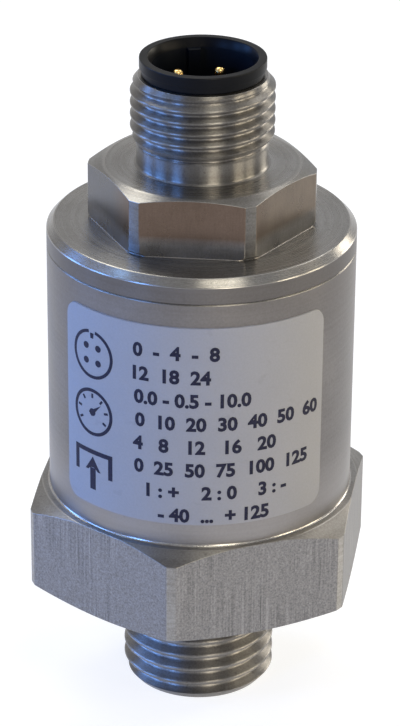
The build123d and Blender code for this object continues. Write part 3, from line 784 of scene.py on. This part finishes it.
class TRANSMITTER_OT_connector_cap(bpy.types.Operator):
    """Screwed cap: broad chamfer, small milled hexagon, bright neck and plug thread."""

    bl_idname = "transmitter.connector_cap"
    bl_label = "Connector Cap"

    cap_top = 43.26
    cap_chamfer = 0.61
    seam_break = 0.08
    hex_af = 17.0
    hex_turned_r = 9.53
    hex_base_bevel = 0.22
    # The hexagon's foot stands out this much under its flats
    foot_spread = 0.03
    land = 48.36
    land_r = 8.2
    land_drop = 0.45
    flat_angle = math.radians(33.33)
    neck_r = 5.47
    neck_foot = 0.15
    neck_top = 50.11
    # How far over the neck the thread reaches its full radius
    runout = 1.15
    # How far below the neck's top and below the mouth the thread is cut, and how far it fades
    thread_start = 0.06
    thread_stop = 0.05
    thread_fade = (0.35, 0.12)
    crest_z = 50.40
    plug_r = 6.0
    rim_gap = 0.14
    mouth_chamfer = 0.64
    mouth_chamfer_height = 0.8
    spigot = (
        (11.05, 35.2), (11.45, 35.6), (11.45, 39.15), (10.45, 39.15), (10.45, 40.65),
        (11.45, 40.65), (11.45, 41.15),
    )
    bores = ((4.88, 45.0), (7.0, 45.0), (7.0, 40.91), (9.65, 40.91), (9.65, 35.2))
    plug_bore_r = 4.88
    # Half a plug thread from crest to root: share of a turn, share of the depth
    thread_form = (
        (0.0, 0.0), (0.055, 0.01), (0.09, 0.05), (0.13, 0.15), (0.35, 0.86),
        (0.40, 0.95), (0.45, 0.99), (0.5, 1.0),
    )

    def execute(self, context):
        sizes = context.scene.transmitter_sizes
        colours = context.scene.transmitter_colours
        blunt = sizes.edge_break / MM
        angles, side = hexagon_columns(
            sizes.ring_columns, self.hex_af, self.hex_turned_r, self.flat_angle
        )
        foot_r = self.hex_turned_r - self.hex_base_bevel
        bevel_share = share_between(side, foot_r, self.hex_turned_r, least=0.18)
        low_crease = self.cap_top + self.hex_base_bevel * bevel_share
        foot = np.minimum(side, foot_r) + self.foot_spread
        high_crease = self.land - self.land_drop * share_between(side, self.land_r, self.hex_turned_r)
        top = PLUG_TOP_Z - self.rim_gap
        outside = plain_envelope(
            [
                (self.neck_top, self.neck_r),
                (self.neck_top + self.runout, self.plug_r),
                (top - self.mouth_chamfer_height, self.plug_r),
                (top, self.plug_r - self.mouth_chamfer),
            ]
        )
        thread = thread_rings(
            angles, self.neck_top - self.thread_start, top - self.thread_stop, self.crest_z,
            sizes.plug_pitch / MM, self.plug_r, sizes.plug_depth / MM, self.thread_form, outside,
            self.thread_fade, POLISHED,
        )
        corners = [Corner(radius, height) for radius, height in self.spigot]
        corners += [
            Corner(BARREL_R - self.seam_break, SEAM_Z, 0.03, wear_and_highlight=0.0),
            Corner(BARREL_R, SEAM_Z + self.seam_break, 0.05, CAP_MATT, wear_and_highlight=0.0),
            Corner(BARREL_R, self.cap_top - self.cap_chamfer, blunt),
            Corner(BARREL_R - self.cap_chamfer, self.cap_top, blunt),
            # Painted highlight: the bright line along the foot of the small hexagon
            Corner(foot, self.cap_top, 0.1, MILLED, wear_and_highlight=1.0, rounding=TURNED),
            Corner(side, low_crease, blunt / 2, MILLED),
            Corner(side, high_crease, blunt / 2, BEVEL, wear_and_highlight=0.6),
            Corner(self.land_r, self.land, 0.1),
            Corner(self.neck_r + self.neck_foot, self.land, blunt, POLISHED),
            Corner(self.neck_r, self.land + self.neck_foot, blunt, POLISHED, wear_and_highlight=0.0),
            thread,
            Corner(self.plug_r - self.mouth_chamfer, top, 0.03),
            Corner(self.plug_bore_r, top, 0.03),
        ]
        corners += [Corner(radius, height) for radius, height in self.bores]
        cap = skin(
            "cap_steelwork", angles, section_rings(corners, len(angles)), True,
            [
                turned_steel("Turned Cap Steel", colours.turned, 0.28, depth=0.002),
                turned_steel("Polished Steel", colours.polished, 0.36, pitch=0.07, depth=0.002, grain=0.92),
                milled_steel("Milled Steel", colours.milled),
                matt_steel("Matt Cap Steel", shade(colours.matt, 0.78)),
                turned_steel(
                    "Corner Strip Steel", shade(colours.chamfered, 0.75), 0.34, pitch=0.05, depth=0.001
                ),
                turned_steel("Bevel Steel", shade(colours.turned, 0.85), 0.33),
            ],
            turned_strips=side >= self.hex_turned_r, flat_finish=MILLED, strip_finish=STRIP,
        )
        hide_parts("connector_cap")
        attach(cap, "root")
        return {"FINISHED"}


class TRANSMITTER_OT_contact_carrier(bpy.types.Operator):
    """Black contact carrier: collar, lead-in cone, socket with its coding rib, and screwed tail."""

    bl_idname = "transmitter.contact_carrier"
    bl_label = "Contact Carrier"

    mouth_r = 4.58
    socket_r = 4.2
    lead_in = 0.73
    collar_height = 0.86
    band_r = 5.08
    barrel_r = 4.85
    floor_z = 48.58
    rib_r = 3.6
    rib_half_width = 0.5
    rib_angle = math.radians(109.85)
    back = ((4.85, 46.6), (4.25, 46.6), (4.25, 45.6), (4.85, 45.6), (4.85, 45.0), (4.4, 45.0), (4.4, 43.4))
    columns = 192

    def execute(self, context):
        sizes = context.scene.transmitter_sizes
        colours = context.scene.transmitter_colours
        blunt = sizes.edge_break / MM
        half = math.atan(self.rib_half_width / self.rib_r)
        creases = [self.rib_angle - half, self.rib_angle + half]
        angles = ring_angles(self.columns, creases, start=-math.pi / 2)
        off = (angles - self.rib_angle + math.pi) % (2 * math.pi) - math.pi
        wall = np.where(np.abs(off) < half, self.rib_r / np.cos(off), self.socket_r)
        cone_z = RIM_Z - self.lead_in
        corners = [
            Corner(0.0, self.floor_z, finish=SOCKET_SHADE),
            Corner(wall, self.floor_z, 0.1, SOCKET_SHADE),
            Corner(wall, cone_z, blunt, SOCKET_SHADE),
            Corner(self.socket_r, cone_z, 0.03),
            Corner(self.mouth_r, RIM_Z, 0.05),
            Corner(COLLAR_R, RIM_Z, 0.08),
            Corner(COLLAR_R, RIM_Z - self.collar_height, 0.05),
            Corner(self.band_r, RIM_Z - self.collar_height, 0.02),
            Corner(self.band_r, PLUG_TOP_Z, 0.02),
            Corner(self.barrel_r, PLUG_TOP_Z),
        ]
        corners += [Corner(radius, height) for radius, height in self.back]
        corners.append(Corner(0.0, CARRIER_LOW.z))
        carrier = skin(
            "contact_carrier", angles, section_rings(corners, len(angles), closed=False), False,
            [
                moulded_plastic("Black Moulding", shade(colours.carrier, 0.75), 0.36, sheen_level=0.08),
                # Painted shade: a duller, cooler copy of the carrier plastic darkens the deep socket
                moulded_plastic("Socket Shade Plastic", shade(colours.carrier, 1.0, -0.2), 0.5, sheen_level=0.04),
            ],
        )
        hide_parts("connector_insert")
        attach(carrier, "root")
        return {"FINISHED"}


class TRANSMITTER_OT_contact_pins(bpy.types.Operator):
    """Four gold plated contacts with domed tips, flanges and solder tails."""

    bl_idname = "transmitter.contact_pins"
    bl_label = "Contact Pins"

    # Radius and height above the tail's end, up to where the dome starts
    shape = ((0.35, 0.0), (0.35, 1.6), (0.75, 1.6), (0.75, 2.1), (0.5, 2.1))
    blunt = 0.04
    dome_r = 0.42
    dome_steps = 8
    dome_rise = 0.2
    columns = 40

    def execute(self, context):
        gold = plated_metal("Contact Gold", context.scene.transmitter_colours.gold, 0.2)
        angles = ring_angles(self.columns)
        for name in sorted(node for node in frame["nodes"] if node.startswith("contact_pin_")):
            low, high = (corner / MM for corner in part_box(name))
            shank_r = self.shape[-1][0]
            tip_z = high.z + self.dome_rise
            corners = [Corner(0.0, low.z)]
            corners += [Corner(radius, low.z + height, self.blunt) for radius, height in self.shape]
            for step in range(self.dome_steps + 1):
                bend = math.pi / 2 * step / self.dome_steps
                radius = shank_r - self.dome_r + self.dome_r * math.cos(bend)
                corners.append(Corner(radius, tip_z - self.dome_r + self.dome_r * math.sin(bend)))
            corners.append(Corner(0.0, tip_z))
            rings = section_rings(corners, len(angles), closed=False)
            pin = skin(f"{name}_plated", angles, rings, False, [gold])
            centre = (low + high) / 2 * MM
            pin.data.transform(Matrix.Translation((centre.x, centre.y, 0)))
            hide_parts(name)
            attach(pin, "root")
        return {"FINISHED"}


# Rating label


class LabelPlane:
    """The label's flat layout: right and up from its middle, in millimetres, wrapped on the barrel."""

    middle_angle = math.radians(-84.75)
    span = math.radians(107.5)
    inner_r = BARREL_R + 0.01
    outer_r = BARREL_R + 0.11
    half_width = outer_r * span / 2
    half_height = (LABEL_HIGH.z - LABEL_LOW.z) / 2
    middle_z = (LABEL_HIGH.z + LABEL_LOW.z) / 2
    corner_r = 1.4

    @classmethod
    def wrap(cls, right, up, radius):
        angle = cls.middle_angle + right / cls.outer_r
        return np.stack([radius * np.cos(angle), radius * np.sin(angle), cls.middle_z + up], axis=-1)


class TRANSMITTER_OT_rating_label(bpy.types.Operator):
    """Film label with rounded corners, wrapped round the barrel's front."""

    bl_idname = "transmitter.rating_label"
    bl_label = "Rating Label"

    columns = 96
    corner_rows = 10
    middle_rows = 8
    edge_slope = 0.05
    sharp_angle = math.radians(20)

    def heights(self, half, corner):
        bend = np.linspace(0, math.pi / 2, self.corner_rows + 1)
        low = -half + corner - corner * np.cos(bend)
        middle = np.linspace(-half + corner, half - corner, self.middle_rows + 2)[1:-1]
        return np.concatenate([low, middle, -low[::-1]])

    def sheet(self, inset):
        """Grid over the label, its outline drawn in by inset."""
        half = LabelPlane.half_height - inset
        corner = LabelPlane.corner_r - inset
        ups = self.heights(half, corner)
        over = np.clip((np.abs(ups) - (half - corner)) / corner, 0, 1)
        reach = LabelPlane.half_width - inset - corner * (1 - np.sqrt(1 - over**2))
        shares = np.linspace(-1, 1, self.columns)
        return reach[:, None] * shares[None, :], np.broadcast_to(ups[:, None], (len(ups), self.columns))

    def execute(self, context):
        layers = [
            LabelPlane.wrap(*self.sheet(inset), radius)
            for inset, radius in ((0.0, LabelPlane.inner_r), (self.edge_slope, LabelPlane.outer_r))
        ]
        rows, columns = layers[0].shape[:2]
        top = rows * columns
        grid = np.arange(top).reshape(rows, columns)
        quads = np.stack([grid[:-1, :-1], grid[:-1, 1:], grid[1:, 1:], grid[1:, :-1]], axis=-1)
        quads = quads.reshape(-1, 4)
        rim = np.concatenate([grid[0, :], grid[1:, -1], grid[-1, -2::-1], grid[-2:0:-1, 0]])
        after = np.roll(rim, -1)
        sides = np.stack([rim, after, after + top, rim + top], axis=-1)
        faces = np.concatenate([quads, quads + top, sides]).tolist()
        verts = np.concatenate([layer.reshape(-1, 3) for layer in layers]) * MM
        mesh = bpy.data.meshes.new("rating_film")
        mesh.from_pydata(verts.tolist(), [], faces)
        weld(mesh)
        mesh.shade_smooth()
        mesh.set_sharp_from_angle(angle=self.sharp_angle)
        mesh.materials.append(label_film("Label Film", context.scene.transmitter_colours.film))
        film = place("rating_film", mesh)
        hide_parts("rating_label")
        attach(film, "root")
        return {"FINISHED"}


class Print:
    """Flat shapes with a thickness, gathered and then wrapped on the label. Places and widths are
    in millimetres, angles in degrees."""

    # Size of a line of figures for its height, and how much each stroke is thickened
    size_share = 1.38
    bold_share = 0.055
    # How deep the print is sunk into the film, in millimetres, so that no gap shows
    sunk = 0.004

    def __init__(self, thickness):
        self.thickness = thickness
        self.verts = []
        self.faces = []

    def gather(self, points, faces):
        base = sum(len(v) for v in self.verts)
        self.verts.append(np.asarray(points, float))
        self.faces.extend([[base + i for i in face] for face in faces])

    def strip(self, left, right):
        """Band between two lines of points of the same length, with both faces and its rim."""
        count = len(left)
        flat = np.concatenate([left, right])
        points = np.concatenate(
            [np.column_stack([flat, np.full(len(flat), z)]) for z in (0.0, self.thickness)]
        )
        top = 2 * count
        faces = [(i, count + i, top + count + i, top + i) for i in (0, count - 1)]
        for near, far in ((0, count), (top, top + count), (0, top), (count, count + top)):
            faces += [(near + i, near + i + 1, far + i + 1, far + i) for i in range(count - 1)]
        self.gather(points, faces)

    def bar(self, start, end, width):
        start, end = np.array(start, float), np.array(end, float)
        along = (end - start) / np.linalg.norm(end - start)
        across = np.array([-along[1], along[0]]) * width / 2
        line = start + np.linspace(0, 1, 6)[:, None] * (end - start)
        self.strip(line - across, line + across)

    def arc(self, centre, inner, outer, start=0.0, sweep=360.0, steps=48):
        bend = np.radians(np.linspace(start, start + sweep, steps + 1))
        ring = np.column_stack([np.cos(bend), np.sin(bend)])
        self.strip(np.array(centre) + ring * inner, np.array(centre) + ring * outer)

    def dot(self, centre, radius):
        self.arc(centre, radius * 0.02, radius, steps=24)

    def wedge(self, tip, base_middle, base_width):
        tip, base_middle = np.array(tip, float), np.array(base_middle, float)
        along = (tip - base_middle) / np.linalg.norm(tip - base_middle)
        across = np.array([-along[1], along[0]])
        shares = np.linspace(0, 0.98, 5)[:, None]
        line = base_middle + shares * (tip - base_middle)
        half = across * base_width / 2 * (1 - shares)
        self.strip(line - half, line + half)

    def words(self, text, left, base, height):
        """A line of figures from its left end."""
        curve = bpy.data.curves.new("figures", "FONT")
        curve.body = text
        curve.size = height * self.size_share
        curve.resolution_u = 3
        curve.offset = height * self.bold_share
        curve.extrude = self.thickness / 2
        holder = bpy.data.objects.new("figures", curve)
        bpy.context.scene.collection.objects.link(holder)
        bpy.context.view_layer.update()
        mesh = bpy.data.meshes.new_from_object(holder.evaluated_get(bpy.context.evaluated_depsgraph_get()))
        points = np.array([v.co for v in mesh.vertices])
        faces = [tuple(p.vertices) for p in mesh.polygons]
        bpy.data.objects.remove(holder)
        bpy.data.curves.remove(curve)
        bpy.data.meshes.remove(mesh)
        points[:, 2] += self.thickness / 2
        points[:, 0] += left - points[:, 0].min()
        points[:, 1] += base
        self.gather(points, faces)

    def piece(self, name, material):
        flat = np.concatenate(self.verts)
        wrapped = LabelPlane.wrap(flat[:, 0], flat[:, 1], LabelPlane.outer_r - self.sunk + flat[:, 2])
        mesh = bpy.data.meshes.new(name)
        mesh.from_pydata((wrapped * MM).tolist(), [], self.faces)
        weld(mesh)
        mesh.materials.append(material)
        return place(name, mesh)


class TRANSMITTER_OT_label_print(bpy.types.Operator):
    """Generic print on the label: three plain signs, and lines of plain figures."""

    bl_idname = "transmitter.label_print"
    bl_label = "Label Print"

    # Each line of figures: text and left end in millimetres
    lines = (
        ("0  -  4  -  8", -4.9),
        ("12  18  24", -4.9),
        ("0.0 - 0.5 - 10.0", -4.8),
        ("0  10  20  30  40  50  60", -4.7),
        ("4   8   12   16   20", -4.9),
        ("0  25  50  75  100  125", -4.8),
        ("1 : +    2 : 0    3 : -", -3.7),
        ("- 40  ...  + 125", -2.7),
    )
    first_base = 6.12
    line_pitch = 2.115
    figure_height = 1.2
    # Middles of the signs, and radii of the round ones. They are drawn round their middles, all
    # in millimetres.
    sign_x = -9.0
    plug_y, plug_r = 5.0, 2.2
    dial_y, dial_r = -0.3, 2.15
    inlet_y = -5.6

    def plug_sign(self, ink, centre, radius):
        """The plug's face: ring, coding notch and four contacts."""
        x, y = centre
        ink.arc(centre, radius - 0.28, radius, 100, 340)
        ink.arc(centre, radius - 0.75, radius - 0.28, 84, 12, steps=6)
        for number in range(4):
            bend = math.radians(135 - 90 * number)
            ink.dot((x + 0.95 * math.cos(bend), y + 0.95 * math.sin(bend)), 0.30)

    def dial_sign(self, ink, centre, radius):
        """A round dial with ticks and a pointer."""
        x, y = centre
        ink.arc(centre, radius - 0.30, radius)
        for tick in range(7):
            bend = math.radians(210 - 40 * tick)
            away = np.array([math.cos(bend), math.sin(bend)])
            start, end = (np.array(centre) + away * (radius - depth) for depth in (0.85, 0.45))
            ink.bar(start, end, 0.2)
        ink.wedge((x + 0.95, y + 0.85), (x - 0.25, y - 0.2), 0.5)
        ink.dot(centre, 0.34)

    def inlet_sign(self, ink, centre):
        """An arrow up into an open square: the side that takes the pressure."""
        x, y = centre
        for side in (x - 1.9, x + 1.9):
            ink.bar((side, y - 0.5), (side, y + 1.75), 0.42)
        ink.bar((x - 2.11, y + 1.6), (x + 2.11, y + 1.6), 0.42)
        ink.bar((x, y - 1.9), (x, y + 0.1), 0.62)
        ink.wedge((x, y + 1.15), (x, y - 0.15), 1.7)

    def execute(self, context):
        ink = Print(context.scene.transmitter_sizes.print_thickness / MM)
        for row, (text, left) in enumerate(self.lines):
            ink.words(text, left, self.first_base - row * self.line_pitch, self.figure_height)
        self.plug_sign(ink, (self.sign_x, self.plug_y), self.plug_r)
        self.dial_sign(ink, (self.sign_x, self.dial_y), self.dial_r)
        self.inlet_sign(ink, (self.sign_x, self.inlet_y))
        printed = ink.piece("label_print", printed_ink("Label Ink", context.scene.transmitter_colours.ink))
        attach(printed, "root")
        return {"FINISHED"}


# Sealed solids


class TRANSMITTER_OT_inner_parts(bpy.types.Operator):
    """Finishes of the sealed solids, which keep their own meshes."""

    bl_idname = "transmitter.inner_parts"
    bl_label = "Inner Parts"

    def execute(self, context):
        finishes = {
            "seal_rubber": soft_rubber("Seal Rubber", (0.022, 0.022, 0.023)),
            "cell_ceramic": sintered_ceramic("Cell Ceramic", (0.78, 0.76, 0.70)),
            "ring_plastic": moulded_plastic("Ring Plastic", (0.52, 0.45, 0.32), 0.5),
            "ring_steel": turned_steel("Ring Steel", (0.42, 0.42, 0.42), 0.3),
            "carrier_plastic": moulded_plastic("Carrier Plastic", (0.03, 0.03, 0.034), 0.5),
            "board_laminate": board_laminate("Board Laminate", (0.03, 0.17, 0.07)),
            "chip_plastic": moulded_plastic("Chip Plastic", (0.018, 0.018, 0.02), 0.55),
            "capacitor_ceramic": sintered_ceramic("Capacitor Ceramic", (0.42, 0.29, 0.17)),
            "lead_metal": plated_metal("Tinned Wire", (0.62, 0.61, 0.58), 0.25),
            "nut_brass": turned_steel("Nut Brass", (0.62, 0.45, 0.20), 0.28),
        }
        for entry in frame["record"]["subparts"]:
            slot = entry["material_slot"]
            if slot in finishes:
                mesh = frame["nodes"][entry["node"]].data
                mesh.materials.clear()
                mesh.materials.append(finishes[slot])
        return {"FINISHED"}


# Studio


class TRANSMITTER_OT_studio(bpy.types.Operator):
    """Pale floor, soft strip lights on both sides, and the camera."""

    bl_idname = "transmitter.studio"
    bl_label = "Studio"

    # Lights: side as seen from the camera and rise, in degrees, width and height in metres,
    # colour, and share of the set brightness
    strips = (
        (-104, 11, 0.20, 0.32, (0.12, 0.35, 1.0), 1.2), (-77, 11, 0.20, 0.32, (0.12, 0.35, 1.0), 1.3),
        (-44, 11, 0.15, 0.32, (0.13, 0.36, 1.0), 1.5), (19, 11, 0.20, 0.32, (1.0, 0.90, 0.70), 0.9),
        (65, 11, 0.19, 0.32, (1.0, 0.88, 0.64), 0.8), (88, 11, 0.18, 0.32, (1.0, 0.88, 0.64), 0.7),
        (129, 11, 0.22, 0.32, (1.0, 0.92, 0.76), 0.7), (23, 62, 0.26, 0.16, (1.0, 0.94, 0.76), 0.62),
        (-158, 52, 0.34, 0.20, (1.0, 0.97, 0.84), 0.7), (142, 46, 0.22, 0.20, (1.0, 0.96, 0.86), 0.35),
        (-80, 50, 0.12, 0.12, (0.24, 0.50, 1.0), 0.6),
    )
    strip_distance = 0.7
    # Background in reflections: direction, its cosine from and to, and the strengths there, added up
    sky_bands = (
        ((0.0, 0.0, 1.0), 0.03, 0.16, 1.0, 0.42),
        ((0.0, 0.0, 1.0), 0.70, 0.97, 0.0, 0.30),
        ((-0.124, 0.810, 0.574), 0.10, 0.85, 0.0, 0.42),
    )
    soft_colour = (1.0, 0.99, 0.98)
    # Greys of the floor: what it throws back where it is seen, what it glows with there, and
    # what it throws back on the object
    floor_paper = 0.32
    floor_glow = 0.80
    floor_plain = 0.75
    # Height of the point that all strips face, in metres
    middle_z = 0.035
    # The heading that the strips' sides are taken from, then the camera's place in metres, and
    # its heading, tilt and roll in degrees
    view_azimuth = 8.712
    camera_place = (0.03684, -0.24076, 0.147482)
    camera_turn = (view_azimuth, 64.206, 0.466)

    def show(self, nodes, output, plain, seen):
        """Ends a tree: seen for camera rays and rays off or through a surface, plain for others."""
        path = nodes.add("ShaderNodeLightPath").outputs
        looks = nodes.maths("MAXIMUM", path["Is Camera Ray"], path["Is Glossy Ray"])
        looks = nodes.maths("MAXIMUM", looks, path["Is Transmission Ray"])
        mix = nodes.add("ShaderNodeMixShader", {0: looks, 1: plain.outputs[0], 2: seen.outputs[0]})
        nodes.add(output, {"Surface": mix.outputs[0]})

    def sky(self, strength):
        world = bpy.data.worlds.new("Soft Studio")
        nodes = Nodes(world)
        soft = nodes.add("ShaderNodeBackground", {"Color": self.soft_colour, "Strength": strength})
        where = nodes.add("ShaderNodeTexCoord").outputs["Generated"]
        bands = []
        for direction, low, high, at_low, at_high in self.sky_bands:
            across = Vector(direction).normalized()
            cosine = nodes.vector("DOT_PRODUCT", {0: where, 1: across}, "Value")
            bands.append(nodes.span(cosine, low, high, at_low, at_high))
        seen = nodes.add("ShaderNodeBackground", {"Strength": nodes.total(*bands)})
        self.show(nodes, "ShaderNodeOutputWorld", soft, seen)
        bpy.context.scene.world = world

    def floor(self, width):
        """Pale floor that keeps the object's shadow: some of its light is its own, some falls on it."""
        mesh = bpy.data.meshes.new("studio_floor")
        half = width / 2
        corners = [(-half, -half, 0), (half, -half, 0), (half, half, 0), (-half, half, 0)]
        mesh.from_pydata(corners, [], [(0, 1, 2, 3)])
        floor = place("studio_floor", mesh)
        material = bpy.data.materials.new("Pale Floor")
        nodes = Nodes(material)
        paper = nodes.add("ShaderNodeBsdfDiffuse", {"Color": (self.floor_paper,) * 3})
        glow = nodes.add("ShaderNodeEmission", {"Strength": self.floor_glow})
        both = nodes.add("ShaderNodeAddShader", {0: paper.outputs[0], 1: glow.outputs[0]})
        plain = nodes.add("ShaderNodeBsdfDiffuse", {"Color": (self.floor_plain,) * 3})
        self.show(nodes, "ShaderNodeOutputMaterial", plain, both)
        mesh.materials.append(material)

    def lamps(self, strength):
        middle = Vector((0, 0, self.middle_z))
        for number, (side, rise, width, height, colour, share) in enumerate(self.strips, 1):
            light = bpy.data.lights.new(f"strip_light_{number}", "AREA")
            light.shape = "RECTANGLE"
            light.size, light.size_y = width, height
            light.color = colour
            light.energy = strength * share * math.pi * width * height
            turn, lift = math.radians(self.view_azimuth + side), math.radians(rise)
            level = math.cos(lift)
            away = Vector((math.sin(turn) * level, -math.cos(turn) * level, math.sin(lift)))
            lamp = bpy.data.objects.new(f"strip_light_{number}", light)
            lamp.location = middle + away * self.strip_distance
            lamp.rotation_euler = away.to_track_quat("Z", "Y").to_euler()
            bpy.context.scene.collection.objects.link(lamp)

    def camera(self, lens):
        data = bpy.data.cameras.new("studio_camera")
        data.lens = lens
        data.sensor_width = 36.0
        data.clip_start = 0.01
        data.clip_end = 100.0
        camera = bpy.data.objects.new("studio_camera", data)
        heading, tilt, roll = (math.radians(angle) for angle in self.camera_turn)
        head = Matrix.Rotation(heading, 4, "Z") @ Matrix.Rotation(tilt, 4, "X")
        turn = head @ Matrix.Rotation(roll, 4, "Z")
        camera.matrix_world = Matrix.Translation(self.camera_place) @ turn
        bpy.context.scene.collection.objects.link(camera)
        bpy.context.scene.camera = camera

    def execute(self, context):
        studio = context.scene.transmitter_studio
        context.scene.view_settings.view_transform = "Standard"
        self.sky(studio.sky_strength)
        self.floor(studio.floor_width)
        self.lamps(studio.strip_strength)
        self.camera(studio.lens)
        return {"FINISHED"}


class TRANSMITTER_PT_panel(bpy.types.Panel):
    """Builds the transmitter piece by piece."""

    bl_idname = "TRANSMITTER_PT_panel"
    bl_label = "Pressure Transmitter"
    bl_space_type = "VIEW_3D"
    bl_region_type = "UI"
    bl_category = "Transmitter"

    def draw(self, context):
        for group in ("transmitter_sizes", "transmitter_colours", "transmitter_studio"):
            settings = getattr(context.scene, group)
            box = self.layout.box()
            for name in settings.__annotations__:
                box.prop(settings, name)
        for operator in OPERATORS:
            self.layout.operator(operator.bl_idname)


GROUPS = (TransmitterSizes, TransmitterColours, TransmitterStudio)
OPERATORS = (
    TRANSMITTER_OT_process_body,
    TRANSMITTER_OT_connector_cap,
    TRANSMITTER_OT_contact_carrier,
    TRANSMITTER_OT_contact_pins,
    TRANSMITTER_OT_rating_label,
    TRANSMITTER_OT_label_print,
    TRANSMITTER_OT_inner_parts,
    TRANSMITTER_OT_studio,
)


def register():
    for cls in (*GROUPS, *OPERATORS, TRANSMITTER_PT_panel):
        bpy.utils.register_class(cls)
    bpy.types.Scene.transmitter_sizes = bpy.props.PointerProperty(type=TransmitterSizes)
    bpy.types.Scene.transmitter_colours = bpy.props.PointerProperty(type=TransmitterColours)
    bpy.types.Scene.transmitter_studio = bpy.props.PointerProperty(type=TransmitterStudio)


def unregister():
    del bpy.types.Scene.transmitter_studio
    del bpy.types.Scene.transmitter_colours
    del bpy.types.Scene.transmitter_sizes
    for cls in (TRANSMITTER_PT_panel, *reversed(OPERATORS), *reversed(GROUPS)):
        bpy.utils.unregister_class(cls)


def main():
    register()
    for operator in OPERATORS:
        category, name = operator.bl_idname.split(".")
        getattr(getattr(bpy.ops, category), name)()


if __name__ == "__main__":
    main()
